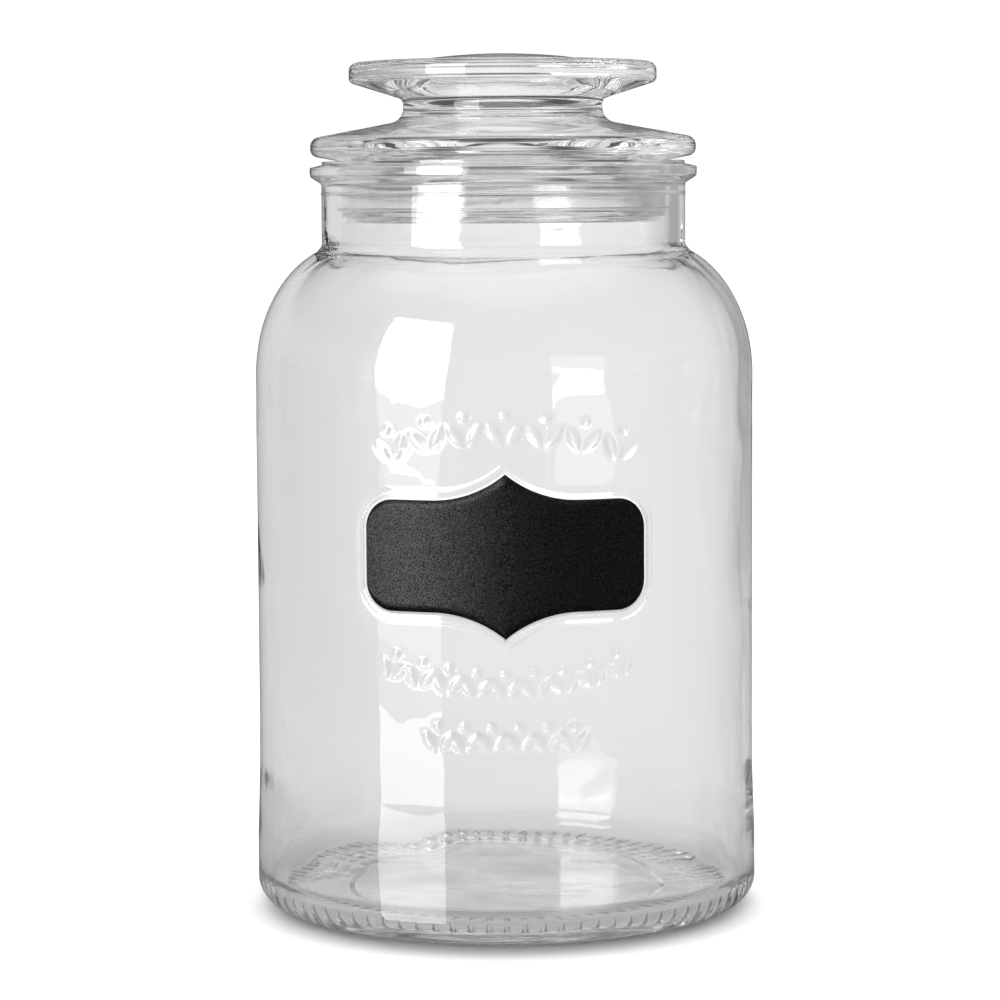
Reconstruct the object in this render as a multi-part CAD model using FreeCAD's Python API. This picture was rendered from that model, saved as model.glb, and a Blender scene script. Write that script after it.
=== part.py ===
import FreeCAD, Part
import math
import os

vector = FreeCAD.Vector

# Sizes are in millimetres. The jar stands on z = 0, its axis is the z axis
# and the label faces -y.

# jar body
body_radius = 75.0
wall = 3.6                # glass thickness of the straight wall
floor_height = 4.4        # inside floor above the ground
floor_round = 7.0         # inside corner between floor and wall
heel_swell = 0.75         # the heel band stands this far out of the wall
heel_top = 36.0           # the heel band ends here
heel_round = 8.0
shoulder_start = 160.0    # the straight wall ends here
shoulder_ratio = 4 / 3    # height of the shoulder's quarter ellipse over its width
shoulder_stop = 0.323     # share of the ellipse's width left when it meets the neck

# foot
land_radius = 60.0        # inner edge of the ring the jar stands on
punt_radius = 48.0        # step up to the hollow centre
punt_height = 1.8
knurl_count = 80
knurl_depth = 0.6
knurl_round = 0.8

# neck and rim
bore_radius = 50.4
neck_wall = 4.3
neck_fillet = 2.5         # hollow curve between shoulder and neck
seam_drop = 8.6           # mould seam round the neck, below the rim's top
seam_size = 0.35
neck_length = 23.0        # from the top of the shoulder's ellipse to the rim's top
rim_depth = 5.8           # height of the thick rim
rim_reach = 3.5           # the rim stands this far out of the neck

# seal
slip = 0.09               # radial clearance between seal and lid
seat_gap = 0.02           # clearance between stacked faces at rest
fin_gap = 0.1             # fins to bore
sleeve_wall = 1.1
sleeve_length = 15.5
flange_thick = 0.95
flange_inset = 3.7        # seal flange ends this far inside the rim
fin_count = 3
fin_thick = 0.8

# lid
seal_room = 2.85          # bore radius less plug radius
plug_wall = 5.0
plug_length = 18.3
lid_inset = 0.3           # lid edge ends this far inside the rim
lid_edge = 6.0            # thickness at the bull-nosed edge
lid_slope = 11.0          # degrees, top of the lid
grip_neck_radius = 30.0
grip_neck_length = 6.1
grip_wall = 5.0
knob_radius = 46.15
knob_edge = 5.7           # thickness at the knob's edge
knob_slope = 18.0         # degrees, underside of the knob
crown_radius = 31.0
crown_rise = 2.7

# label, sizes measured along the curved glass
label_height = 0.702      # its middle, as a share of the straight wall's height
label_half_width = 41.4
label_half_height = 15.9
label_corner = 8.5
label_peak_start = 20.8   # the top edge leaves the straight here
label_peak_round = 32.6
film_margin = 0.6
film_gap = 0.1
film_thick = 0.15
chalk_thick = 0.15
bead_start = 0.9          # glass bead round the label, from and to
bead_end = 2.9
relief = 0.7              # height of the bead and the leaves
leaf_width = 3.4
berry_radius = 1.5


def rounded(corners):
    """Edges through (radius, height[, round]) corners, each corner an arc if round is given."""
    points = [vector(corner[0], 0, corner[1]) for corner in corners]
    edges = []
    last = points[0]
    for number in range(1, len(points)):
        here = points[number]
        size = corners[number][2] if len(corners[number]) > 2 else 0
        if size == 0 or number == len(points) - 1:
            edges.append(Part.makeLine(last, here))
            last = here
            continue
        back = (points[number - 1] - here).normalize()
        onward = (points[number + 1] - here).normalize()
        half = back.getAngle(onward) / 2
        start = here + back * (size / math.tan(half))
        end = here + onward * (size / math.tan(half))
        middle = here + (back + onward).normalize() * (size / math.sin(half) - size)
        edges.append(Part.makeLine(last, start))
        edges.append(Part.Arc(start, middle, end).toShape())
        last = end
    return edges


def turned(edges):
    """Solid of revolution about the z axis from the edges of one closed outline."""
    outline = Part.Wire(Part.__sortEdges__(edges))
    return Part.Face(outline).revolve(vector(0, 0, 0), vector(0, 0, 1), 360)


def shoulder(centre, width, rise, end_radius):
    """Elliptical arc from the straight wall up to end_radius, and the height it ends at."""
    middle = vector(centre, 0, shoulder_start)
    ellipse = Part.Ellipse(middle + vector(0, 0, rise), middle + vector(width, 0, 0), middle)
    turn = math.asin((end_radius - centre) / width)
    return ellipse.toShape(turn, math.pi / 2), shoulder_start + rise * math.cos(turn)


def ring(inner, outer, bottom, top):
    """Plain tube between two radii."""
    tube = Part.makeCylinder(outer, top - bottom, vector(0, 0, bottom))
    return tube.cut(Part.makeCylinder(inner, top - bottom, vector(0, 0, bottom)))


def raised(outline, along=0.0):
    """Prism through the front wall over a flat outline, turned to a place along the wall."""
    prism = Part.Face(outline).extrude(vector(0, 6 + body_radius / 2, 0))
    prism.rotate(vector(0, 0, 0), vector(0, 0, 1), math.degrees(along / body_radius))
    return prism


# jar
neck_radius = bore_radius + neck_wall
rim_radius = neck_radius + rim_reach
heel_radius = body_radius + heel_swell
inner_radius = body_radius - wall
shoulder_centre = (neck_radius - shoulder_stop * body_radius) / (1 - shoulder_stop)
shoulder_width = body_radius - shoulder_centre
shoulder_rise = shoulder_width * shoulder_ratio
rim_top = shoulder_start + shoulder_rise + neck_length
seam_height = rim_top - seam_drop

outer_arc, neck_foot = shoulder(shoulder_centre, shoulder_width, shoulder_rise, neck_radius)
inner_arc, bore_foot = shoulder(
    shoulder_centre, shoulder_width - wall, shoulder_rise - wall, bore_radius)

outside = rounded([
    (0, punt_height),
    (punt_radius - 1.4, punt_height - 0.2, 0.7),
    (punt_radius, 0.4, 0.5),
    (punt_radius + 4.6, 0.3, 4),
    (land_radius, 0, 4),
    (heel_radius, 0, heel_round),
    (heel_radius, heel_top - 9, 40),
    (body_radius, heel_top, 40),
    (body_radius, shoulder_start)])
finish = rounded([
    (neck_radius, neck_foot),
    (neck_radius, seam_height - seam_size),
    (neck_radius + seam_size, seam_height, 0.2),
    (neck_radius, seam_height + seam_size),
    (neck_radius, rim_top - rim_depth, 1.2),
    (rim_radius - 0.1, rim_top - rim_depth + 2.2, 1.2),
    (rim_radius, rim_top - 0.8, 0.3),
    (neck_radius, rim_top, 0.5),
    (bore_radius, rim_top, 0.6),
    (bore_radius, bore_foot)])
inside = rounded([
    (inner_radius, shoulder_start),
    (inner_radius, floor_height, floor_round),
    (0, floor_height + 0.2)])
axis = Part.makeLine(vector(0, 0, punt_height), vector(0, 0, floor_height + 0.2))
jar = turned(outside + [outer_arc] + finish + [inner_arc] + inside + [axis])

neck_corner = [
    edge for edge in jar.Edges
    if abs(edge.BoundBox.ZMin - neck_foot) < 0.01 and abs(edge.BoundBox.ZMax - neck_foot) < 0.01
    and abs(edge.BoundBox.XMax - neck_radius) < 0.01]
jar = jar.makeFillet(neck_fillet, neck_corner)

# the foot ring and the lower edge of the heel are notched all the way round
notches = []
for number in range(knurl_count):
    notch = Part.makeCylinder(
        knurl_round, heel_radius + 2 - land_radius,
        vector(land_radius, 0, knurl_depth - knurl_round), vector(1, 0, 0))
    notch.rotate(vector(0, 0, 0), vector(0, 0, 1), number * 360 / knurl_count)
    notches.append(notch)
jar = jar.cut(Part.makeCompound(notches))

# label outline
front = -(body_radius + 6)
label_middle = label_height * shoulder_start
side_x = body_radius * math.sin(label_half_width / body_radius)
peak_x = body_radius * math.sin(label_peak_start / body_radius)
peak_turn = math.asin(peak_x / label_peak_round)
peak_centre = label_half_height + label_peak_round


def spot(across, up):
    """Point in front of the wall, measured from the middle of the label."""
    return vector(across, front, label_middle + up)


def peak_spot(turn):
    """Point on the hollow curve that runs up to the label's peak."""
    return spot(peak_x - label_peak_round * math.sin(turn),
                peak_centre - label_peak_round * math.cos(turn))


bend = label_corner * (1 - math.sqrt(0.5))
quarter = [
    Part.makeLine(spot(side_x, 0), spot(side_x, label_half_height - label_corner)),
    Part.Arc(spot(side_x, label_half_height - label_corner),
             spot(side_x - bend, label_half_height - bend),
             spot(side_x - label_corner, label_half_height)).toShape(),
    Part.makeLine(spot(side_x - label_corner, label_half_height), peak_spot(0)),
    Part.Arc(peak_spot(0), peak_spot(peak_turn / 2), peak_spot(peak_turn)).toShape()]
half = quarter + [edge.mirror(spot(0, 0), vector(1, 0, 0)) for edge in quarter]
whole = half + [edge.mirror(spot(0, 0), vector(0, 0, 1)) for edge in half]
label = Part.Wire(Part.__sortEdges__(whole))
film_edge = label.makeOffset2D(film_margin, 2)
low = label_middle - 40
high = label_middle + 40

film_inner = body_radius + film_gap
chalk_inner = film_inner + film_thick + seat_gap
label_film = raised(film_edge).common(ring(film_inner, film_inner + film_thick, low, high))
chalk_face = raised(label).common(ring(chalk_inner, chalk_inner + chalk_thick, low, high))

bead = raised(label.makeOffset2D(bead_end, 2)).cut(raised(label.makeOffset2D(bead_start, 2)))

# leaf garlands pressed into the glass


def leaf(along, up, length, width, tilt):
    """Pointed leaf standing on (along, up), leaning over by tilt degrees."""
    foot = vector(0, front, up)
    tip = foot + vector(0, 0, length)
    middle = foot + vector(0, 0, length / 2)
    right = Part.Arc(foot, middle + vector(width / 2, 0, 0), tip).toShape()
    left = Part.Arc(tip, middle - vector(width / 2, 0, 0), foot).toShape()
    outline = Part.Wire([right, left])
    outline.rotate(foot, vector(0, 1, 0), tilt)
    return raised(outline, along)


def berry(along, up, radius):
    """Round bead."""
    circle = Part.makeCircle(radius, vector(0, front, up), vector(0, 1, 0))
    return raised(Part.Wire([circle]), along)


def garland(count, half_length, level, curve, height):
    """Row of leaf pairs with a berry over each; a positive curve lifts the middle."""
    pieces = []
    for number in range(count):
        share = 2 * number / (count - 1) - 1
        along = share * half_length
        foot = level - height / 2 + curve * (1 - share * share)
        lean = math.degrees(math.atan(2 * curve * share / half_length))
        for side in (-1, 1):
            pieces.append(leaf(along + side * 0.7, foot, height * 0.8, leaf_width, lean + side * 32))
        pieces.append(berry(along + height * 0.78 * math.sin(math.radians(lean)),
                            foot + height * 0.82, berry_radius))
    return pieces


leaves = garland(7, 32.5, label_middle + 36.5 - 4.6, 4.6, 10.5)
leaves += garland(9, 34.0, label_middle - 36.0 + 5.0, -5.0, 8.6)
leaves += garland(6, 19.5, label_middle - 51.4, 0.0, 8.8)
shell = ring(body_radius - 1.5, body_radius + relief, label_middle - 60, label_middle + 47)
jar = jar.fuse([bead.common(shell)] + [piece.common(shell) for piece in leaves])

# lid
plug_radius = bore_radius - seal_room
lid_radius = rim_radius - lid_inset
plug_top = rim_top + seat_gap + flange_thick + seat_gap
plug_bottom = plug_top - plug_length
edge_low = plug_top + 1.7
edge_high = edge_low + lid_edge - 0.85
slope_rise = math.tan(math.radians(lid_slope))
neck_low = edge_high + (lid_radius - grip_neck_radius) * slope_rise
neck_high = neck_low + grip_neck_length
knob_low = neck_high + (knob_radius - grip_neck_radius) * math.tan(math.radians(knob_slope))
knob_high = knob_low + knob_edge
cavity_radius = grip_neck_radius - grip_wall
cavity_top = knob_high - 7.4
mouth_radius = plug_radius - plug_wall

top = rounded([
    (mouth_radius, plug_bottom + 1.2),
    (mouth_radius + 1.2, plug_bottom, 0.8),
    (plug_radius, plug_bottom, 1.2),
    (plug_radius, plug_top, 0.15),
    (plug_radius + 1.2, plug_top),
    (lid_radius, edge_low, 2.4),
    (lid_radius, edge_high, 2.9),
    (grip_neck_radius, neck_low, 4.5),
    (grip_neck_radius, neck_high, 2.0),
    (knob_radius, knob_low, 1.6),
    (knob_radius, knob_high, 2.3),
    (crown_radius, knob_high)])
crown_ball = (crown_radius ** 2 + crown_rise ** 2) / (2 * crown_rise)
crown_dip = crown_ball - math.sqrt(crown_ball ** 2 - (crown_radius / 2) ** 2)
crown_top = knob_high + crown_rise
crown = Part.Arc(
    vector(crown_radius, 0, knob_high),
    vector(crown_radius / 2, 0, crown_top - crown_dip),
    vector(0, 0, crown_top)).toShape()
cavity = rounded([
    (0, cavity_top),
    (cavity_radius, cavity_top, 12),
    (cavity_radius, edge_high + 1, 8),
    (mouth_radius - 0.6, plug_top - 0.5, 9),
    (mouth_radius, plug_bottom + 1.2)])
core = Part.makeLine(vector(0, 0, cavity_top), vector(0, 0, crown_top))
lid = turned(top + [crown, core] + cavity)

# seal
seal_inner = plug_radius + slip
sleeve_radius = seal_inner + sleeve_wall
seal_bottom = rim_top + seat_gap
seal_top = seal_bottom + flange_thick
sleeve_bottom = seal_bottom - sleeve_length
fin_pitch = sleeve_length / (fin_count + 0.3)
profile = [(seal_inner, sleeve_bottom), (sleeve_radius, sleeve_bottom)]
for number in range(fin_count):
    root = sleeve_bottom + 1.2 + number * fin_pitch
    profile += [
        (sleeve_radius, root),
        (bore_radius - fin_gap, root + 1.1, 0.1),
        (bore_radius - fin_gap, root + 1.1 + fin_thick / 2, 0.1),
        (sleeve_radius, root + fin_thick)]
profile += [
    (sleeve_radius, seal_bottom),
    (rim_radius - flange_inset, seal_bottom, 0.2),
    (rim_radius - flange_inset, seal_top, 0.2),
    (seal_inner, seal_top),
    (seal_inner, sleeve_bottom)]
seal = turned(rounded(profile))

os.makedirs("parts", exist_ok=True)
nodes = {
    "jar": jar, "lid": lid, "seal": seal, "label_film": label_film, "chalk_face": chalk_face}
for name, shape in nodes.items():
    solid = shape.Solids[0]
    solid.exportStep("parts/" + name + ".step")
    print(name, len(shape.Solids), round(solid.Volume / 1000, 2), "cm3", solid.isValid(),
          [round(value, 2) for value in (solid.BoundBox.XMin, solid.BoundBox.YMin,
           solid.BoundBox.ZMin, solid.BoundBox.XMax, solid.BoundBox.YMax, solid.BoundBox.ZMax)])
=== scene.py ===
import math
import bpy
import numpy as np
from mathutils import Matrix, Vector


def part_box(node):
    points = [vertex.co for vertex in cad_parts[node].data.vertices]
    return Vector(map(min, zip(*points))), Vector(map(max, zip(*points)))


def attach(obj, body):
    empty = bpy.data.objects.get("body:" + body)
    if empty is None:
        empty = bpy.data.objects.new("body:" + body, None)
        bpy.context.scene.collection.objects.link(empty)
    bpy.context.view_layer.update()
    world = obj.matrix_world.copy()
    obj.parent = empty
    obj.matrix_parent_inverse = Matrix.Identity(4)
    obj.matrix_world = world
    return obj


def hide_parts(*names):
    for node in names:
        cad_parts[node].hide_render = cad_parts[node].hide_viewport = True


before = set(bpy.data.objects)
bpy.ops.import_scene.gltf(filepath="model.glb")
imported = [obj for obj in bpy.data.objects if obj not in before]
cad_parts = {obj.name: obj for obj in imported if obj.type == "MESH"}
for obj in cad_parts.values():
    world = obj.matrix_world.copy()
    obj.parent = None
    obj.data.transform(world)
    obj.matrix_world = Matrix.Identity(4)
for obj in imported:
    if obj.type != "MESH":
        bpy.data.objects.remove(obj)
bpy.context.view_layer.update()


def plainBox(box):
    return [[float(value) for value in corner] for corner in box]


jarLow, jarHigh = plainBox(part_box("jar"))
lidLow, lidHigh = plainBox(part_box("lid"))
sealLow, sealHigh = plainBox(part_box("seal"))
filmLow, filmHigh = plainBox(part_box("label_film"))
chalkLow, chalkHigh = plainBox(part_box("chalk_face"))

# Shapes are worked out in millimetres and put into meshes in metres.


def smoothStep(x):          # 0 below 0, 1 above 1, an s-curve between
    x = np.clip(x, 0, 1)
    return x * x * (3 - 2 * x)


def outlinePath(corners, step):
    # a path of straight runs between (radius, height, round) corners; each rounded corner is
    # an arc that touches both runs, and each longer run has a row close to either end
    rows = []
    last = np.array(corners[0][:2], float)
    for number in range(1, len(corners)):
        here = np.array(corners[number][:2], float)
        size = corners[number][2] if len(corners[number]) > 2 else 0
        arc = None
        stop = here
        if size:
            back = last - here
            back = back / np.hypot(*back)
            onward = np.array(corners[number + 1][:2], float) - here
            onward = onward / np.hypot(*onward)
            half = math.acos(float(np.clip(back @ onward, -1, 1))) / 2
            stop = here + back * size / math.tan(half)
            leave = here + onward * size / math.tan(half)
            middle = here + (back + onward) / np.hypot(*(back + onward)) * size / math.sin(half)
            sweep = math.pi - 2 * half
            share = np.linspace(0, 1, int(sweep / (0.3 if size < 1 else 0.16)) + 3)[:, None]
            arc = middle + (np.sin((1 - share) * sweep) * (stop - middle)
                            + np.sin(share * sweep) * (leave - middle)) / math.sin(sweep)
        length = float(np.hypot(*(stop - last)))
        if length > 1e-6:
            cuts = np.linspace(0, 1, max(2, int(length / step) + 2))
            near = 0.35 / length
            if near < 0.25:
                cuts = np.unique(np.round(np.append(cuts, [near, 1 - near]), 6))
            rows.append(last + cuts[:-1, None] * (stop - last))
        if arc is not None:
            rows.append(arc[:-1])
            stop = arc[-1]
        last = stop
    rows.append(last[None])
    return np.concatenate(rows)


def shoulderPath(centre, foot, width, rise, endRadius, count):
    # radius = centre + width cos(t), height = foot + rise sin(t), from t = 0 to endRadius
    turn = np.linspace(0, math.acos((endRadius - centre) / width), count)
    return np.stack([centre + width * np.cos(turn), foot + rise * np.sin(turn)], 1)


def turnBand(path, turns, push=None):
    # a path of (radius, height) rows carried round the z axis; push(turn, radius, height) moves
    # a point out of the glass along the path's normal; turn 0 is the back, pi is the front
    along = np.gradient(path, axis=0)
    along /= np.maximum(np.hypot(along[:, 0], along[:, 1]), 1e-9)[:, None]
    radius = np.repeat(path[:, :1], len(turns), 1)
    height = np.repeat(path[:, 1:], len(turns), 1)
    turn = np.repeat(turns[None], len(path), 0)
    if push is not None:
        out = push(turn, radius, height)
        radius = radius + out * along[:, 1:]
        height = height - out * along[:, :1]
    angle = turn + math.pi / 2
    return np.stack([radius * np.cos(angle), radius * np.sin(angle), height], -1)


def gridFaces(rows, columns, start=0):
    # four-cornered faces between neighbouring rows of a band that closes on itself
    row, column = np.meshgrid(np.arange(rows - 1), np.arange(columns), indexing="ij")
    a = start + row * columns + column
    b = start + row * columns + (column + 1) % columns
    return np.stack([a, b, b + columns, a + columns], -1).reshape(-1, 4)


def zipFaces(lowTurns, lowStart, highTurns, highStart):
    # triangles between two rings with different numbers of points, both starting at turn 0:
    # each step on one ring joins the last point passed on the other
    full = 2 * math.pi
    lowNext = np.append(lowTurns[1:], full)
    highNext = np.append(highTurns[1:], full)
    low = np.arange(len(lowTurns))
    other = np.searchsorted(highTurns, lowNext - 1e-9, "left") - 1
    lowFaces = np.stack([lowStart + low, lowStart + (low + 1) % len(low),
                         highStart + other % len(highTurns)], 1)
    high = np.arange(len(highTurns))
    other = np.searchsorted(np.append(lowTurns, full), highNext + 1e-9, "right") - 1
    highFaces = np.stack([highStart + (high + 1) % len(high), highStart + high,
                          lowStart + other % len(lowTurns)], 1)
    return np.concatenate([lowFaces, highFaces])


def turnedSolid(bands):
    # bands of (points, turns) joined ring to ring; the first and last ring are closed by a pole
    points, faces, start, before = [], [], 0, None
    for number, (grid, turns) in enumerate(bands):
        if number == 0:
            grid = grid[1:]
        if number == len(bands) - 1:
            grid = grid[:-1]
        if before is not None and len(before[0]) == len(turns) and np.allclose(before[0], turns):
            faces.append(gridFaces(2, len(turns), before[1]))
        elif before is not None:
            faces.append(zipFaces(before[0], before[1], turns, start))
        faces.append(gridFaces(len(grid), len(turns), start))
        points.append(grid.reshape(-1, 3))
        start += grid.shape[0] * grid.shape[1]
        before = (turns, start - len(turns))
    firstRing = len(bands[0][1])
    lastRing = len(before[0])
    poles = np.array([[0, 0, bands[0][0][0, 0, 2]], [0, 0, bands[-1][0][-1, 0, 2]]])
    ring = np.arange(firstRing)
    faces.append(np.stack([np.full(firstRing, start), (ring + 1) % firstRing, ring], 1))
    ring = np.arange(lastRing)
    faces.append(np.stack([before[1] + ring, before[1] + (ring + 1) % lastRing,
                           np.full(lastRing, start + 1)], 1))
    return np.concatenate(points + [poles]), faces


def makePiece(name, points, faces, material, body, node):
    loops = np.concatenate([block.ravel() for block in faces])
    sizes = np.concatenate([np.full(len(block), block.shape[1]) for block in faces])
    mesh = bpy.data.meshes.new(name)
    mesh.vertices.add(len(points))
    mesh.vertices.foreach_set("co", (points * 0.001).ravel())
    mesh.loops.add(len(loops))
    mesh.loops.foreach_set("vertex_index", loops.astype(np.int32))
    mesh.polygons.add(len(sizes))
    mesh.polygons.foreach_set("loop_start", (np.cumsum(sizes) - sizes).astype(np.int32))
    mesh.polygons.foreach_set("use_smooth", np.ones(len(sizes), bool))
    mesh.update(calc_edges=True)
    mesh.validate()
    mesh.materials.append(material)
    piece = bpy.data.objects.new(name, mesh)
    bpy.context.collection.objects.link(piece)
    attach(piece, body)
    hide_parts(node)
    print(name, "made,", int((sizes - 2).sum()), "triangles")
    return piece


# clear glass, the jar's a little greyer than the lid's
glassLook = {
    "jarTint": (0.957, 0.959, 0.959, 1.0),
    "lidTint": (0.99, 0.992, 0.992, 1.0),
    "bend": 1.5,                    # refractive index
    "roughness": 0.0,
    "absorb": (0.45, 0.47, 0.48, 1.0),
    "depth": 0.3,                   # absorption per metre, times one less the colour
    "jarWave": (38.0, 0.0005),      # the bump's ripples per metre and their height in metres
    "lidWave": (55.0, 0.00015),
}


def glassMaterial(name, tint, waveScale, waveHeight):
    # clear glass; its bump is soft noise stretched upwards
    material = bpy.data.materials.new(name)
    material.use_nodes = True
    nodes, links = material.node_tree.nodes, material.node_tree.links
    shader = nodes["Principled BSDF"]
    shader.inputs["Base Color"].default_value = tint
    shader.inputs["Roughness"].default_value = glassLook["roughness"]
    shader.inputs["IOR"].default_value = glassLook["bend"]
    shader.inputs["Transmission Weight"].default_value = 1.0
    place = nodes.new("ShaderNodeTexCoord")
    stretch = nodes.new("ShaderNodeMapping")
    stretch.inputs["Scale"].default_value = (1.0, 1.0, 0.45)
    wave = nodes.new("ShaderNodeTexNoise")
    wave.inputs["Scale"].default_value = waveScale
    wave.inputs["Detail"].default_value = 2.0
    wave.inputs["Roughness"].default_value = 0.35
    bump = nodes.new("ShaderNodeBump")
    bump.inputs["Strength"].default_value = 1.0
    bump.inputs["Distance"].default_value = waveHeight
    links.new(place.outputs["Object"], stretch.inputs["Vector"])
    links.new(stretch.outputs["Vector"], wave.inputs["Vector"])
    links.new(wave.outputs["Fac"], bump.inputs["Height"])
    links.new(bump.outputs["Normal"], shader.inputs["Normal"])
    absorb = nodes.new("ShaderNodeVolumeAbsorption")
    absorb.inputs["Color"].default_value = glassLook["absorb"]
    absorb.inputs["Density"].default_value = glassLook["depth"]
    links.new(absorb.outputs["Volume"], nodes["Material Output"].inputs["Volume"])
    return material


jarGlass = glassMaterial("jarGlass", glassLook["jarTint"], *glassLook["jarWave"])
lidGlass = glassMaterial("lidGlass", glassLook["lidTint"], *glassLook["lidWave"])

# the label's outline, shared by the label and the glass bead round it
labelSize = {
    "halfWidth": 41.4,              # along the curved glass
    "halfHeight": 15.9,
    "corner": 8.5,
    "peakStart": 20.8,              # where the top edge leaves the straight
    "peakRound": 32.6,              # hollow curve up to the peak
    "stack": 0.42,                  # from the glass to the label's face
}
labelMiddle = (chalkLow[2] + chalkHigh[2]) * 500
bodyRadius = -chalkLow[1] * 1000 - labelSize["stack"]


def labelTop(across):
    # half height at a place: quarter circle at the corner, straight, hollow arc up to the peak
    size = labelSize
    side = np.minimum(np.abs(across), size["halfWidth"])
    corner = np.maximum(side - (size["halfWidth"] - size["corner"]), 0)
    rounded = (size["halfHeight"] - size["corner"]
               + np.sqrt(np.maximum(size["corner"] ** 2 - corner ** 2, 0)))
    peak = np.maximum(size["peakStart"] - side, 0)
    hollow = (size["halfHeight"] + size["peakRound"]
              - np.sqrt(np.maximum(size["peakRound"] ** 2 - peak ** 2, 0)))
    return np.where(peak > 0, hollow, rounded)


def labelDistance(across, up):
    # distance to the label's edge, below zero inside: the least of the distances to the side,
    # the corner's arc, the straight top and the hollow arc
    size = labelSize
    a, b = np.abs(across), np.abs(up)
    sideEnd = size["halfHeight"] - size["corner"]
    topEnd = size["halfWidth"] - size["corner"]
    side = np.hypot(a - size["halfWidth"], np.maximum(b - sideEnd, 0))
    top = np.hypot(b - size["halfHeight"],
                   a - np.clip(a, size["peakStart"], topEnd))
    corner = np.abs(np.hypot(a - topEnd, b - sideEnd) - size["corner"])
    corner = np.where((a > topEnd) & (b > sideEnd), corner, 1e3)
    centre = size["halfHeight"] + size["peakRound"]
    hollow = np.abs(np.hypot(a - size["peakStart"], b - centre) - size["peakRound"])
    peak = labelTop(np.zeros(1))[0]
    within = (a < size["peakStart"]) & (
        (size["peakStart"] - a) * (centre - peak) <= size["peakStart"] * (centre - b))
    hollow = np.where(within, hollow, np.hypot(a, b - peak))
    distance = np.minimum(np.minimum(side, top), np.minimum(corner, hollow))
    inside = (a < size["halfWidth"]) & (b < labelTop(across))
    return np.where(inside, -distance, distance)


# the jar, turned round its axis with raised work on the front
jar = {
    "wall": 3.6,
    "heelSwell": 0.75,
    "heelSlope": (21.0, 42.0),      # heights between which the heel narrows to the wall
    "neckWall": 4.3,
    "bore": 50.4,
    "rimSwell": 3.5,
    "shoulderDepth": 63.0,          # from the rim's top down to the shoulder's foot
    "shoulderCentre": 45.0,
    "outerRise": 40.0,              # half height of the shoulder's ellipse, outside and inside
    "innerRise": 36.4,
    "floorTop": 4.6,
    "hollowTop": 1.8,               # the hollow under the foot
    "footRing": 60.0,
    "footRound": 8.0,
    "relief": 0.68,                 # height of the leaves and the bead
    "leafWidth": 3.4,
    "berryRadius": 1.5,
    "beadMiddle": 1.9,              # the bead's middle from the label's edge
    "beadHalf": 1.15,
    # rows of leaf pairs: their number, half length, level from the label's middle, how far the
    # row's middle lies above its ends, and the leaves' height
    "garlands": ((7, 32.5, 31.9, 4.6, 10.5), (9, 34.0, -31.0, -5.0, 8.6),
                 (6, 19.5, -51.4, 0.0, 8.8)),
    "knurls": 80,
    "knurlDepth": 0.6,
    "knurlRound": 0.8,
    "ringColumns": 180,
    "beltFine": 0.66,               # spacing of the fine grid behind the leaves
    "innerWave": 0.19,
    "outerWave": 0.05,
}

heelRadius = bodyRadius + jar["heelSwell"]
innerRadius = bodyRadius - jar["wall"]
neckRadius = jar["bore"] + jar["neckWall"]
rimRadius = neckRadius + jar["rimSwell"]
rimTop = jarHigh[2] * 1000
shoulderFoot = rimTop - jar["shoulderDepth"]

evenTurns = np.arange(jar["ringColumns"]) * 2 * math.pi / jar["ringColumns"]
notchSteps = np.array([0, 0.004, 0.0075, 0.0105, 0.014, 0.027])
notchSteps = np.append(notchSteps, 2 * math.pi / jar["knurls"] - notchSteps[:0:-1])
footTurns = (np.arange(jar["knurls"])[:, None] * 2 * math.pi / jar["knurls"]
             + notchSteps).ravel()
reach = 47.0 / bodyRadius
fineTurns = np.linspace(math.pi - reach, math.pi + reach, int(94 / jar["beltFine"]) + 1)
sideTurns = np.linspace(0, math.pi - reach, 34)
beltTurns = np.concatenate([sideTurns[:-1], fineTurns, (2 * math.pi - sideTurns[1:-1])[::-1]])


def leafRise(along, up, footAlong, footUp, length, width, tilt):
    # how far inside a pointed leaf a point is: half width (1 - (2u/length - 1)^2) less distance
    # from the leaf's line, with u the distance from its foot
    lean = math.radians(tilt)
    u = (along - footAlong) * math.sin(lean) + (up - footUp) * math.cos(lean)
    v = (along - footAlong) * math.cos(lean) - (up - footUp) * math.sin(lean)
    return width / 2 * (1 - (2 * u / length - 1) ** 2) - np.abs(v)


def garlandRise(along, up, count, halfLength, level, curve, height):
    # a row of leaf pairs, each with a berry above; the greatest inside distance of them all
    rise = np.full(along.shape, -1e3)
    for number in range(count):
        share = 2 * number / (count - 1) - 1
        place = share * halfLength
        foot = level - height / 2 + curve * (1 - share * share)
        lean = math.degrees(math.atan(2 * curve * share / halfLength))
        for side in (-1, 1):
            rise = np.maximum(rise, leafRise(
                along, up, place + side * 0.7, foot, height * 0.8, jar["leafWidth"],
                lean + side * 32))
        berryAlong = place + height * 0.78 * math.sin(math.radians(lean))
        rise = np.maximum(rise, jar["berryRadius"]
                          - np.hypot(along - berryAlong, up - foot - height * 0.82))
    return rise


def wave(turn, height, seed):
    # slow ripple of moulded glass: five sines with different turns round and up
    total = 0
    for number in range(5):
        cycles = (2, 3, 5, 4, 7)[number]
        rise = (31.0, 17.0, 43.0, 12.0, 22.0)[number]
        total = total + np.sin(cycles * turn + height / rise * 2.2 + seed * (1 + number) * 1.7
                               + 0.8 * np.sin(height / 19.0 + turn * 2 + seed)) / (1 + 0.4 * number)
    return total / 2.4


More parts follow.
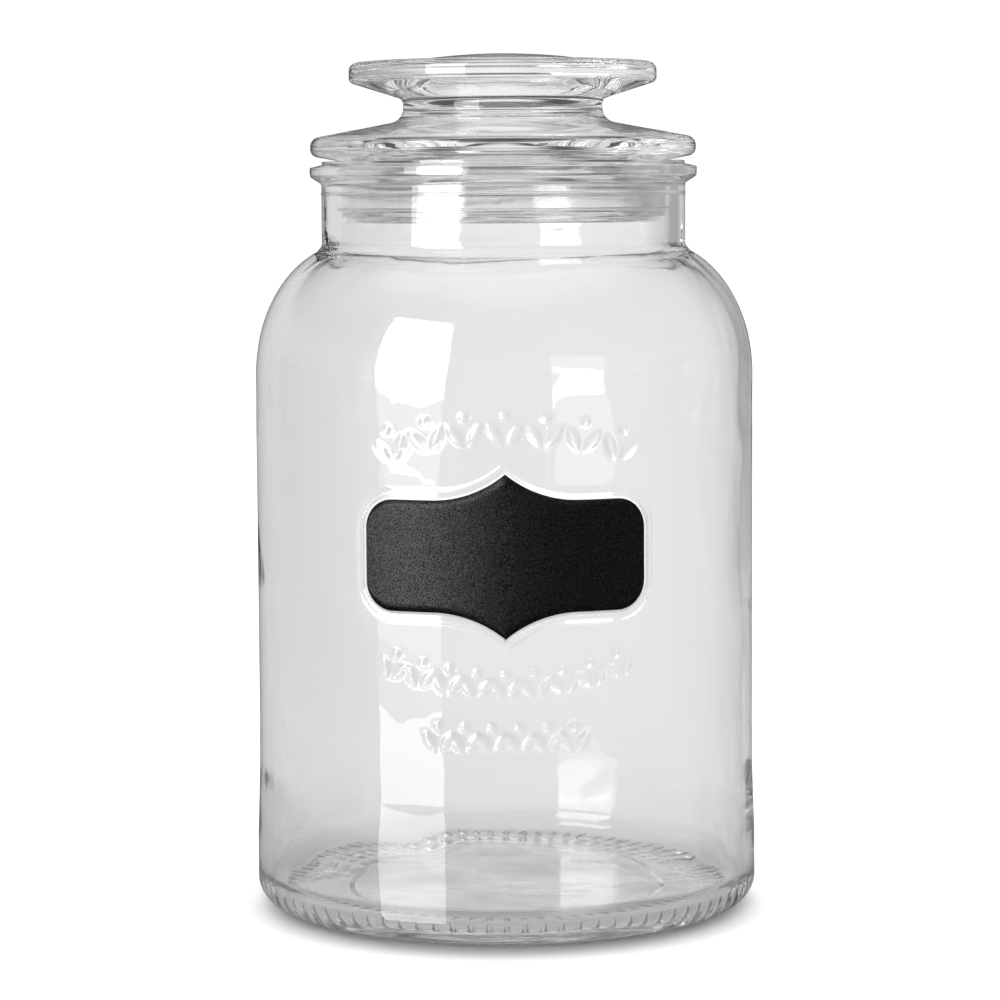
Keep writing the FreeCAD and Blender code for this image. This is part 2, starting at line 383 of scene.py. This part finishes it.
def beltPush(turn, radius, height):
    # the wall with its raised work: an s-curve of the inside distance of the leaves and berries,
    # and the root of an s-curve across the bead
    along = (turn - math.pi) * bodyRadius
    rise = np.maximum.reduce([
        garlandRise(along, height, count, halfLength, labelMiddle + level, curve, leafHeight)
        for count, halfLength, level, curve, leafHeight in jar["garlands"]])
    lift = smoothStep((rise + 0.3) / 1.3)
    bead = np.abs(labelDistance(along, height - labelMiddle) - jar["beadMiddle"])
    bead = 1 - bead / jar["beadHalf"]
    lift = np.maximum(lift, np.sqrt(smoothStep(bead)))
    front = np.abs(along) < 50
    return np.where(front, lift, 0) * jar["relief"] + wallPush(turn, radius, height)


def wallPush(turn, radius, height):
    # slight ripple of the outside, none near the axis
    return jar["outerWave"] * (wave(turn, height, 1.0) - 1) * smoothStep(radius / 30)


def innerPush(turn, radius, height):
    # ripple of the inside, stronger on the shoulder, faint on the floor
    band = np.exp(-((height - rimTop + 32) / 9) ** 2)
    floor = smoothStep((24 - height) / 14)
    size = jar["innerWave"] * (1 + 0.8 * band) * (1 - 0.9 * floor)
    fade = smoothStep(radius / 25) * smoothStep((rimTop - 6 - height) / 10)
    fine = wave(turn * 2, height * 2.3 + radius * 1.5, 5.1)
    return size * fade * (wave(turn, height, 3.3) + 0.5 * fine)


def knurledFoot(grid, turns):
    # notches across the foot ring, the underside of round bars that lie along each radius
    pitch = 2 * math.pi / jar["knurls"]
    radius = np.hypot(grid[..., 0], grid[..., 1])
    offset = (np.abs(turns / pitch - np.round(turns / pitch)) * pitch)[None] * radius
    bar = np.sqrt(np.maximum(jar["knurlRound"] ** 2 - offset ** 2, 0)) - (
        jar["knurlRound"] - jar["knurlDepth"])
    grid[..., 2] = np.where(radius > 62, np.maximum(grid[..., 2], bar), grid[..., 2])
    return grid


hollowPath = outlinePath([
    (0, jar["hollowTop"]), (46.6, jar["hollowTop"] - 0.2, 0.7), (48.0, 0.4, 0.5), (52.6, 0.3, 4),
    (jar["footRing"] - 1.4, 0.05)], 3.5)
footPath = outlinePath([
    (jar["footRing"], 0.01), (jar["footRing"] + 0.6, 0, 1), (heelRadius, 0, jar["footRound"]),
    (heelRadius, 9.0)], 1.8)
heelPath = outlinePath([
    (heelRadius, 11.5), (heelRadius, jar["heelSlope"][0], 60),
    (bodyRadius, jar["heelSlope"][1], 60), (bodyRadius, 51.0)], 3.0)
beltHeights = np.concatenate([
    np.linspace(53.5, labelMiddle - 7, 73), np.linspace(labelMiddle - 5, labelMiddle + 5, 6),
    np.linspace(labelMiddle + 7, 155.5, 51)])
beltPath = np.stack([np.full(len(beltHeights), bodyRadius), beltHeights], 1)
shoulder = shoulderPath(jar["shoulderCentre"], shoulderFoot, bodyRadius - jar["shoulderCentre"],
                        jar["outerRise"], neckRadius, 26)
neckFoot = shoulder[-1, 1]
seamHeight = rimTop - 8.6
upperPath = np.concatenate([
    [[bodyRadius, 158.0], [bodyRadius, shoulderFoot - 0.8]],
    shoulder[:-2],
    outlinePath([
        tuple(shoulder[-2]),
        (neckRadius, neckFoot + 1.0, 2.0),
        (neckRadius, seamHeight - 0.35, 0.3),
        (neckRadius + 0.35, seamHeight, 0.25),
        (neckRadius, seamHeight + 0.35, 0.3),
        (neckRadius, rimTop - 5.8, 1.2),
        (rimRadius - 0.1, rimTop - 3.6, 1.2),
        (rimRadius, rimTop - 0.8, 0.3),
        (neckRadius, rimTop, 0.5),
        (jar["bore"], rimTop, 0.6),
        (jar["bore"], rimTop - 20.0)], 3.0)])
innerShoulder = shoulderPath(jar["shoulderCentre"], shoulderFoot,
                             innerRadius - jar["shoulderCentre"], jar["innerRise"],
                             jar["bore"], 22)[::-1]
innerPath = np.concatenate([
    [[jar["bore"], rimTop - 22.0], [jar["bore"], rimTop - 25.0]],
    innerShoulder[1:],
    outlinePath([
        (innerRadius, shoulderFoot - 3), (innerRadius, jar["floorTop"] - 0.2, 7.0),
        (0, jar["floorTop"])], 3.6)])

footGrid = knurledFoot(turnBand(footPath, footTurns), footTurns)
jarPoints, jarFaces = turnedSolid([
    (turnBand(hollowPath, evenTurns, wallPush), evenTurns),
    (footGrid, footTurns),
    (turnBand(heelPath, evenTurns, wallPush), evenTurns),
    (turnBand(beltPath, beltTurns, beltPush), beltTurns),
    (turnBand(upperPath, evenTurns, wallPush), evenTurns),
    (turnBand(innerPath, evenTurns, innerPush), evenTurns)])
makePiece("glassJar", jarPoints, jarFaces, jarGlass, "jar", "jar")

# the lid with its plug and hollow knob
lid = {
    "plug": 47.55,
    "plugWall": 5.0,
    "plugDepth": 18.3,
    "edgeThick": 5.15,
    "coneSlope": 11.0,              # degrees, the lid's top between its edge and the knob's neck
    "gripNeck": 30.0,
    "gripWall": 5.0,
    "gripHeight": 6.1,
    "knob": 46.15,
    "knobSlope": 18.0,              # degrees, the knob's underside
    "knobThick": 7.4,
    "crown": 31.0,
    "crownRise": 2.7,
    "columns": 160,
}

plugBottom = lidLow[2] * 1000
plugTop = plugBottom + lid["plugDepth"]
lidRadius = lidHigh[0] * 1000
lidEdgeLow = plugTop + 1.7
lidEdgeHigh = lidEdgeLow + lid["edgeThick"]
gripLow = lidEdgeHigh + (lidRadius - lid["gripNeck"]) * math.tan(math.radians(lid["coneSlope"]))
gripHigh = gripLow + lid["gripHeight"]
knobLow = gripHigh + (lid["knob"] - lid["gripNeck"]) * math.tan(math.radians(lid["knobSlope"]))
knobHigh = lidHigh[2] * 1000 - lid["crownRise"]
mouth = lid["plug"] - lid["plugWall"]
cavityTop = knobHigh - lid["knobThick"]
cavityRadius = lid["gripNeck"] - lid["gripWall"]

crownBall = (lid["crown"] ** 2 + lid["crownRise"] ** 2) / (2 * lid["crownRise"])
crownRadius = np.linspace(0, lid["crown"], 14)
crownHeight = knobHigh + lid["crownRise"] - crownBall + np.sqrt(crownBall ** 2 - crownRadius ** 2)
lidPath = np.concatenate([
    np.stack([crownRadius, crownHeight], 1)[:-1],
    outlinePath([
        (lid["crown"], knobHigh),
        (lid["knob"], knobHigh, 2.3),
        (lid["knob"], knobLow, 1.6),
        (lid["gripNeck"], gripHigh, 2.0),
        (lid["gripNeck"], gripLow, 4.5),
        (lidRadius, lidEdgeHigh, 2.9),
        (lidRadius, lidEdgeLow, 2.4),
        (lid["plug"] + 1.2, plugTop),
        (lid["plug"], plugTop, 0.15),
        (lid["plug"], plugBottom, 1.2),
        (mouth + 1.2, plugBottom, 0.8),
        (mouth, plugBottom + 1.2),
        (mouth - 0.6, plugTop - 0.5, 9),
        (cavityRadius, lidEdgeHigh + 1, 8),
        (cavityRadius, cavityTop, 12),
        (0, cavityTop)], 2.6)])[::-1]


def lidPush(turn, radius, height):
    # ripple of the lid, stronger inside its hollow
    inside = (radius < 43.5) & (height < cavityTop + 0.5)
    fade = smoothStep(radius / 14)
    return np.where(inside, 0.10, 0.02) * fade * (wave(turn, height * 2 + radius, 2.2) - 1)


lidTurns = np.arange(lid["columns"]) * 2 * math.pi / lid["columns"]
lidPoints, lidFaces = turnedSolid([(turnBand(lidPath, lidTurns, lidPush), lidTurns)])
makePiece("glassLid", lidPoints, lidFaces, lidGlass, "lid", "lid")

# the ring seal on the plug
seal = {
    "inner": 47.64,
    "sleeveWall": 1.1,
    "flange": 0.95,
    "fins": 3,
    "finThick": 0.8,
    "columns": 144,
    "milk": (0.998, 0.998, 0.998, 1.0),
}


def sealMaterial():
    # milky soft plastic; a little cloudiness from noise varies its roughness
    material = bpy.data.materials.new("sealPlastic")
    material.use_nodes = True
    nodes, links = material.node_tree.nodes, material.node_tree.links
    shader = nodes["Principled BSDF"]
    shader.inputs["Base Color"].default_value = seal["milk"]
    shader.inputs["IOR"].default_value = 1.42
    shader.inputs["Transmission Weight"].default_value = 1.0
    place = nodes.new("ShaderNodeTexCoord")
    cloud = nodes.new("ShaderNodeTexNoise")
    cloud.inputs["Scale"].default_value = 160.0
    cloud.inputs["Detail"].default_value = 3.0
    spread = nodes.new("ShaderNodeMapRange")
    spread.inputs["To Min"].default_value = 0.02
    spread.inputs["To Max"].default_value = 0.14
    bump = nodes.new("ShaderNodeBump")
    bump.inputs["Distance"].default_value = 0.00005
    links.new(place.outputs["Object"], cloud.inputs["Vector"])
    links.new(cloud.outputs["Fac"], spread.inputs["Value"])
    links.new(spread.outputs["Result"], shader.inputs["Roughness"])
    links.new(cloud.outputs["Fac"], bump.inputs["Height"])
    links.new(bump.outputs["Normal"], shader.inputs["Normal"])
    return material


sealBottom = sealLow[2] * 1000
sealTop = sealHigh[2] * 1000
flangeBottom = sealTop - seal["flange"]
flangeRadius = sealHigh[0] * 1000
sleeveRadius = seal["inner"] + seal["sleeveWall"]
finTip = jar["bore"] - 0.1
sealCorners = [(seal["inner"], sealBottom), (sleeveRadius, sealBottom)]
for number in range(seal["fins"]):
    root = sealBottom + 1.2 + number * (flangeBottom - sealBottom) / (seal["fins"] + 0.3)
    sealCorners += [
        (sleeveRadius, root),
        (finTip, root + 1.1, 0.12),
        (finTip, root + 1.1 + seal["finThick"] / 2, 0.12),
        (sleeveRadius, root + seal["finThick"])]
sealCorners += [
    (sleeveRadius, flangeBottom), (flangeRadius, flangeBottom, 0.25),
    (flangeRadius, sealTop, 0.25), (seal["inner"], sealTop), (seal["inner"], sealBottom)]
sealPath = outlinePath(sealCorners, 2.5)[:-1]
sealTurns = np.arange(seal["columns"]) * 2 * math.pi / seal["columns"]
sealGrid = turnBand(sealPath, sealTurns)
sealFaces = gridFaces(len(sealPath) + 1, seal["columns"]) % (len(sealPath) * seal["columns"])
makePiece("softSeal", sealGrid.reshape(-1, 3), [sealFaces], sealMaterial(),
          "seal", "seal")

# the label, a white film and a chalk layer
label = {
    "filmMargin": 0.6,
    "filmColour": (0.86, 0.86, 0.86, 1.0),
    "chalkDark": (0.0003, 0.0003, 0.0003, 1.0),
    "chalkLight": (0.006, 0.006, 0.0062, 1.0),
    "chalkGrain": (3600.0, 0.00013),  # grains per metre and their height in metres
    "sheetThick": 0.15,
}


def wrappedSheet(margin, inner, outer):
    # the label's outline, grown by margin, wrapped round the wall as a thin closed sheet: columns
    # across, rows from the lower edge to the upper, an outer and an inner face and a rim
    half = labelSize["halfWidth"] + margin
    end = np.sin(np.linspace(0, math.pi / 2, 13))
    straight = half - labelSize["corner"] - margin
    right = np.concatenate([np.linspace(0, straight, 36)[:-1],
                            straight + (half - straight) * end])
    across = np.concatenate([-right[:0:-1], right])
    share = across / half * labelSize["halfWidth"]
    tops = labelTop(share) + margin
    if margin:
        corner = np.maximum(np.abs(across) - straight, 0)
        tops = np.where(np.abs(across) > straight,
                        labelSize["halfHeight"] - labelSize["corner"] + np.sqrt(
                            np.maximum((labelSize["corner"] + margin) ** 2 - corner ** 2, 0)),
                        tops)
    rows = np.linspace(-1, 1, 15)
    up = labelMiddle + rows[:, None] * tops[None]
    angle = across[None] / bodyRadius - math.pi / 2 + 0 * up
    sheets = [np.stack([size * np.cos(angle), size * np.sin(angle), up], -1)
              for size in (outer, inner)]
    rowCount, columnCount = up.shape
    row, column = np.meshgrid(np.arange(rowCount - 1), np.arange(columnCount - 1), indexing="ij")
    a = row * columnCount + column
    front = np.stack([a, a + 1, a + 1 + columnCount, a + columnCount], -1).reshape(-1, 4)
    back = front[:, ::-1] + rowCount * columnCount
    loop = np.concatenate([
        np.arange(columnCount),
        np.arange(1, rowCount) * columnCount + columnCount - 1,
        (rowCount - 1) * columnCount + np.arange(columnCount - 2, -1, -1),
        np.arange(rowCount - 2, 0, -1) * columnCount])
    after = np.roll(loop, -1)
    behind = rowCount * columnCount
    rim = np.stack([after, loop, loop + behind, after + behind], 1)
    return np.concatenate([sheet.reshape(-1, 3) for sheet in sheets]), [front, back, rim]


def filmMaterial():
    # white film with a faint mottle
    material = bpy.data.materials.new("labelFilm")
    material.use_nodes = True
    nodes, links = material.node_tree.nodes, material.node_tree.links
    shader = nodes["Principled BSDF"]
    shader.inputs["Roughness"].default_value = 0.45
    place = nodes.new("ShaderNodeTexCoord")
    mottle = nodes.new("ShaderNodeTexNoise")
    mottle.inputs["Scale"].default_value = 900.0
    tone = nodes.new("ShaderNodeMix")
    tone.data_type = "RGBA"
    tone.inputs["A"].default_value = label["filmColour"]
    tone.inputs["B"].default_value = (0.93, 0.93, 0.93, 1.0)
    links.new(place.outputs["Object"], mottle.inputs["Vector"])
    links.new(mottle.outputs["Fac"], tone.inputs["Factor"])
    links.new(tone.outputs["Result"], shader.inputs["Base Color"])
    return material


def chalkMaterial():
    # black writing coat: grain from fine noise sets its tone, its shine and its bump
    material = bpy.data.materials.new("chalkCoat")
    material.use_nodes = True
    nodes, links = material.node_tree.nodes, material.node_tree.links
    shader = nodes["Principled BSDF"]
    shader.inputs["Roughness"].default_value = 0.37
    place = nodes.new("ShaderNodeTexCoord")
    grain = nodes.new("ShaderNodeTexNoise")
    grain.inputs["Scale"].default_value = label["chalkGrain"][0]
    grain.inputs["Detail"].default_value = 2.0
    tone = nodes.new("ShaderNodeValToRGB")
    tone.color_ramp.elements[0].position = 0.42
    tone.color_ramp.elements[0].color = label["chalkDark"]
    tone.color_ramp.elements[1].position = 0.72
    tone.color_ramp.elements[1].color = label["chalkLight"]
    bump = nodes.new("ShaderNodeBump")
    bump.inputs["Distance"].default_value = label["chalkGrain"][1]
    bump.inputs["Strength"].default_value = 1.0
    links.new(place.outputs["Object"], grain.inputs["Vector"])
    gloss = nodes.new("ShaderNodeMapRange")
    gloss.inputs["From Min"].default_value = 0.36
    gloss.inputs["From Max"].default_value = 0.66
    gloss.inputs["To Min"].default_value = 0.04
    gloss.inputs["To Max"].default_value = 1.0
    links.new(grain.outputs["Fac"], tone.inputs["Fac"])
    links.new(grain.outputs["Fac"], gloss.inputs["Value"])
    links.new(gloss.outputs["Result"], shader.inputs["Specular IOR Level"])
    links.new(tone.outputs["Color"], shader.inputs["Base Color"])
    links.new(grain.outputs["Fac"], bump.inputs["Height"])
    links.new(bump.outputs["Normal"], shader.inputs["Normal"])
    return material


filmOuter = -filmLow[1] * 1000
chalkOuter = -chalkLow[1] * 1000
points, faces = wrappedSheet(label["filmMargin"], filmOuter - label["sheetThick"], filmOuter)
makePiece("labelFilm", points, faces, filmMaterial(), "jar", "label_film")
points, faces = wrappedSheet(0.0, chalkOuter - label["sheetThick"], chalkOuter)
makePiece("chalkFace", points, faces, chalkMaterial(), "jar", "chalk_face")

# the floor, the room, the lights and the camera
studio = {
    "floorSize": 4.0,
    "floorTone": (0.80, 0.80, 0.80, 1.0),
    # painted contact shadow: the floor's tone for the camera round the jar's foot
    "floorPaintedShadow": (0.33, 0.33, 0.33, 1.0),
    # painted light: the floor's tone under the jar, as seen through the glass
    "floorPaintedLight": (0.98, 0.98, 0.98, 1.0),
    # painted shade: the floor's tone behind the jar and, darker, to the sides and in front, as seen
    # through the glass
    "floorPaintedShadeBehind": (0.560, 0.560, 0.560, 1.0),
    "floorPaintedShadeAside": (0.347, 0.347, 0.347, 1.0),
    "backdrop": 1.05,               # what the camera sees behind everything
    "fill": 1.70,                   # light that falls on the floor and the label
    "through": 0.97,                # what is seen through the glass
    "mirrored": 0.08,               # dim room that the glass mirrors
    "mirroredSky": 0.9,             # the same, overhead
    "ceiling": 0.05,                # what glass shows of the room's upper walls
    "sideStart": 0.0,               # share of straight back at which the room's sides begin
    "sideEnd": 0.93,                # and at which its back is fully white
    "front": 0.62,                  # the same on the camera's side, as a share
    # the pool of light behind the jar: how far in front of the jar it fans out from, its left and
    # right edges as shares of sideways (from, to, dimmest, brightest), and the shares of straight
    # back over which the dimming beside it fades away again
    # the floor card paints the same dimming beside the pool into its colour as painted shade
    "poolFront": 0.55,
    "poolLeft": (-0.12, 0.0, 0.90, 1.0),
    "poolRight": (0.55, 0.10, 0.48, 1.0),
    "poolBack": (0.05, -0.25, 0.0, 1.0),
    # soft boxes on the left: where they stand, their width, then level, height and power of each
    "boxPlace": (-0.62, -0.68),
    "boxWidth": 0.50,
    "boxes": {"leftBoxHigh": (0.49, 0.76, 8.5), "leftBoxMiddle": (0.02, 0.18, 0.35),
              "leftBoxLow": (-0.23, 0.32, 2.6)},
    "lens": 120.168,
    "cameraPlace": (-0.00096, -1.009, 0.2144),
    "cameraTilt": 5.255,            # degrees below level
    "cameraRoll": 0.3,
}


def easedStep(tree, source, start, end, low=0.0, high=1.0):
    # an s-curve of a value, low at start and high at end
    ramp = tree.nodes.new("ShaderNodeMapRange")
    ramp.interpolation_type = "SMOOTHSTEP"
    for slotName, value in (("From Min", start), ("From Max", end),
                            ("To Min", low), ("To Max", high)):
        ramp.inputs[slotName].default_value = value
    tree.links.new(source, ramp.inputs["Value"])
    return ramp.outputs["Result"]


def combined(tree, operation, first, second):
    total = tree.nodes.new("ShaderNodeMath")
    total.operation = operation
    tree.links.new(first, total.inputs[0])
    tree.links.new(second, total.inputs[1])
    return total.outputs["Value"]


def floorCard():
    # for the camera a pale card with a painted contact shadow where the jar stands; seen through
    # the glass it is palest under the jar (painted light) and greyer behind it, greyer still to the
    # sides, in front and beside the pool of light (painted shade); each is an s-curve of a distance
    # or a direction on the floor
    material = bpy.data.materials.new("floorCard")
    material.use_nodes = True
    tree = material.node_tree
    nodes, links = tree.nodes, tree.links
    shader = nodes["Principled BSDF"]
    shader.inputs["Roughness"].default_value = 0.9
    shader.inputs["Specular IOR Level"].default_value = 0.0
    place = nodes.new("ShaderNodeTexCoord")
    path = nodes.new("ShaderNodeLightPath")

    def beyondFoot(offset):
        # 0 where the jar stands and 1 outside it, round a point that far behind the axis
        distance = nodes.new("ShaderNodeVectorMath")
        distance.operation = "DISTANCE"
        distance.inputs[1].default_value = (0, offset, 0)
        links.new(place.outputs["Object"], distance.inputs[0])
        return easedStep(tree, distance.outputs["Value"], 0.062, 0.080)

    def heading(offset):
        # the direction of a place on the floor from a point that far in front of the axis
        moved = nodes.new("ShaderNodeVectorMath")
        moved.inputs[1].default_value = (0, offset, 0)
        unit = nodes.new("ShaderNodeVectorMath")
        unit.operation = "NORMALIZE"
        parts = nodes.new("ShaderNodeSeparateXYZ")
        links.new(place.outputs["Object"], moved.inputs[0])
        links.new(moved.outputs["Vector"], unit.inputs[0])
        links.new(unit.outputs["Vector"], parts.inputs["Vector"])
        return parts.outputs

    def blend(factor, first, second):
        mix = nodes.new("ShaderNodeMix")
        mix.data_type = "RGBA"
        links.new(factor, mix.inputs["Factor"])
        for slotName, source in (("A", first), ("B", second)):
            if isinstance(source, tuple):
                mix.inputs[slotName].default_value = source
            else:
                links.new(source, mix.inputs[slotName])
        return mix.outputs["Result"]

    # painted shade: greyer to the sides and in front, dimmed beside the pool of light
    facing = easedStep(tree, heading(0)["Y"], studio["sideStart"], studio["sideEnd"])
    behind = blend(facing, studio["floorPaintedShadeAside"], studio["floorPaintedShadeBehind"])
    across = heading(studio["poolFront"])["X"]
    fading = easedStep(tree, heading(0)["Y"], *studio["poolBack"])
    for edge in (studio["poolLeft"], studio["poolRight"]):
        dimmed = nodes.new("ShaderNodeVectorMath")
        dimmed.operation = "SCALE"
        links.new(behind, dimmed.inputs[0])
        links.new(combined(tree, "MAXIMUM", easedStep(tree, across, *edge), fading),
                  dimmed.inputs["Scale"])
        behind = dimmed.outputs["Vector"]
    # for rays through the glass: painted light under the jar, painted shade behind and beside it
    through = blend(beyondFoot(0), studio["floorPaintedLight"], behind)
    # painted contact shadow round the jar's foot, for camera rays only
    seen = blend(beyondFoot(-0.012), studio["floorPaintedShadow"], studio["floorTone"])
    links.new(blend(path.outputs["Is Camera Ray"], through, seen), shader.inputs["Base Color"])
    return material


side = studio["floorSize"]
floorMesh = bpy.data.meshes.new("floor")
drop = -0.0003              # a hair under the foot, so the two surfaces do not coincide
floorMesh.from_pydata([(-side, -side, drop), (side, -side, drop), (side, side, drop),
                       (-side, side, drop)], [], [(0, 1, 2, 3)])
floorMesh.materials.append(floorCard())
floor = bpy.data.objects.new("floor", floorMesh)
bpy.context.collection.objects.link(floor)
floor.visible_glossy = False


def softBox(name, level, height, power):
    # an upright lamp that faces the jar's axis
    lamp = bpy.data.lights.new(name, "AREA")
    lamp.shape = "RECTANGLE"
    lamp.size = studio["boxWidth"]
    lamp.size_y = height
    lamp.energy = power
    light = bpy.data.objects.new(name, lamp)
    x, y = studio["boxPlace"]
    light.location = (x, y, level)
    light.rotation_euler = (math.pi / 2, 0, math.atan2(-x, y) + math.pi)
    light.visible_camera = False
    light.visible_diffuse = False
    bpy.context.collection.objects.link(light)


def roomWorld():
    # white for the camera and for light that reaches the floor or the label; glass mirrors a dim
    # room, brighter overhead; through glass the room is white behind the jar and dimmer above
    # it, towards the camera and beside the pool of light, each an s-curve of the direction's
    # height, depth or sideways share
    world = bpy.data.worlds.new("room")
    world.use_nodes = True
    bpy.context.scene.world = world
    tree = world.node_tree
    nodes, links = tree.nodes, tree.links
    room = nodes["Background"]
    room.inputs["Color"].default_value = (1, 1, 1, 1)
    path = nodes.new("ShaderNodeLightPath")
    place = nodes.new("ShaderNodeTexCoord")
    parts = nodes.new("ShaderNodeSeparateXYZ")
    links.new(place.outputs["Generated"], parts.inputs["Vector"])

    def stepped(axis, *steps):
        return easedStep(tree, parts.outputs[axis], *steps)

    def choose(ray, otherwise, value):
        pick = nodes.new("ShaderNodeMix")
        links.new(path.outputs[ray], pick.inputs["Factor"])
        for slotName, source in (("A", otherwise), ("B", value)):
            if isinstance(source, float):
                pick.inputs[slotName].default_value = source
            else:
                links.new(source, pick.inputs[slotName])
        return pick.outputs["Result"]

    overhead = stepped("Z", 0.75, 0.98, studio["mirrored"], studio["mirroredSky"])
    upper = stepped("Z", 0.17, 0.38, studio["through"], studio["ceiling"])
    facing = stepped("Y", studio["sideStart"], studio["sideEnd"], studio["front"], 1.0)
    shown = combined(tree, "MULTIPLY", upper, facing)
    fading = stepped("Y", *studio["poolBack"])
    for edge in (studio["poolLeft"], studio["poolRight"]):
        share = combined(tree, "MAXIMUM", stepped("X", *edge), fading)
        shown = combined(tree, "MULTIPLY", shown, share)
    shown = combined(tree, "MAXIMUM", shown, overhead)
    strength = choose("Is Glossy Ray", studio["fill"], overhead)
    strength = choose("Is Transmission Ray", strength, shown)
    strength = choose("Diffuse Depth", strength, studio["fill"])
    strength = choose("Is Camera Ray", strength, studio["backdrop"])
    links.new(strength, room.inputs["Strength"])


roomWorld()
for name, values in studio["boxes"].items():
    softBox(name, *values)

camera = bpy.data.objects.new("camera", bpy.data.cameras.new("camera"))
bpy.context.collection.objects.link(camera)
camera.data.lens = studio["lens"]
camera.data.sensor_width = 36
camera.data.clip_start = 0.02
camera.location = studio["cameraPlace"]
camera.rotation_euler = (math.radians(90 - studio["cameraTilt"]),
                         math.radians(studio["cameraRoll"]), 0)
scene = bpy.context.scene
scene.camera = camera
scene.view_settings.view_transform = "Standard"
scene.cycles.max_bounces = 96
scene.cycles.transmission_bounces = 96
scene.cycles.glossy_bounces = 64
scene.cycles.transparent_max_bounces = 16
print("studio ready")
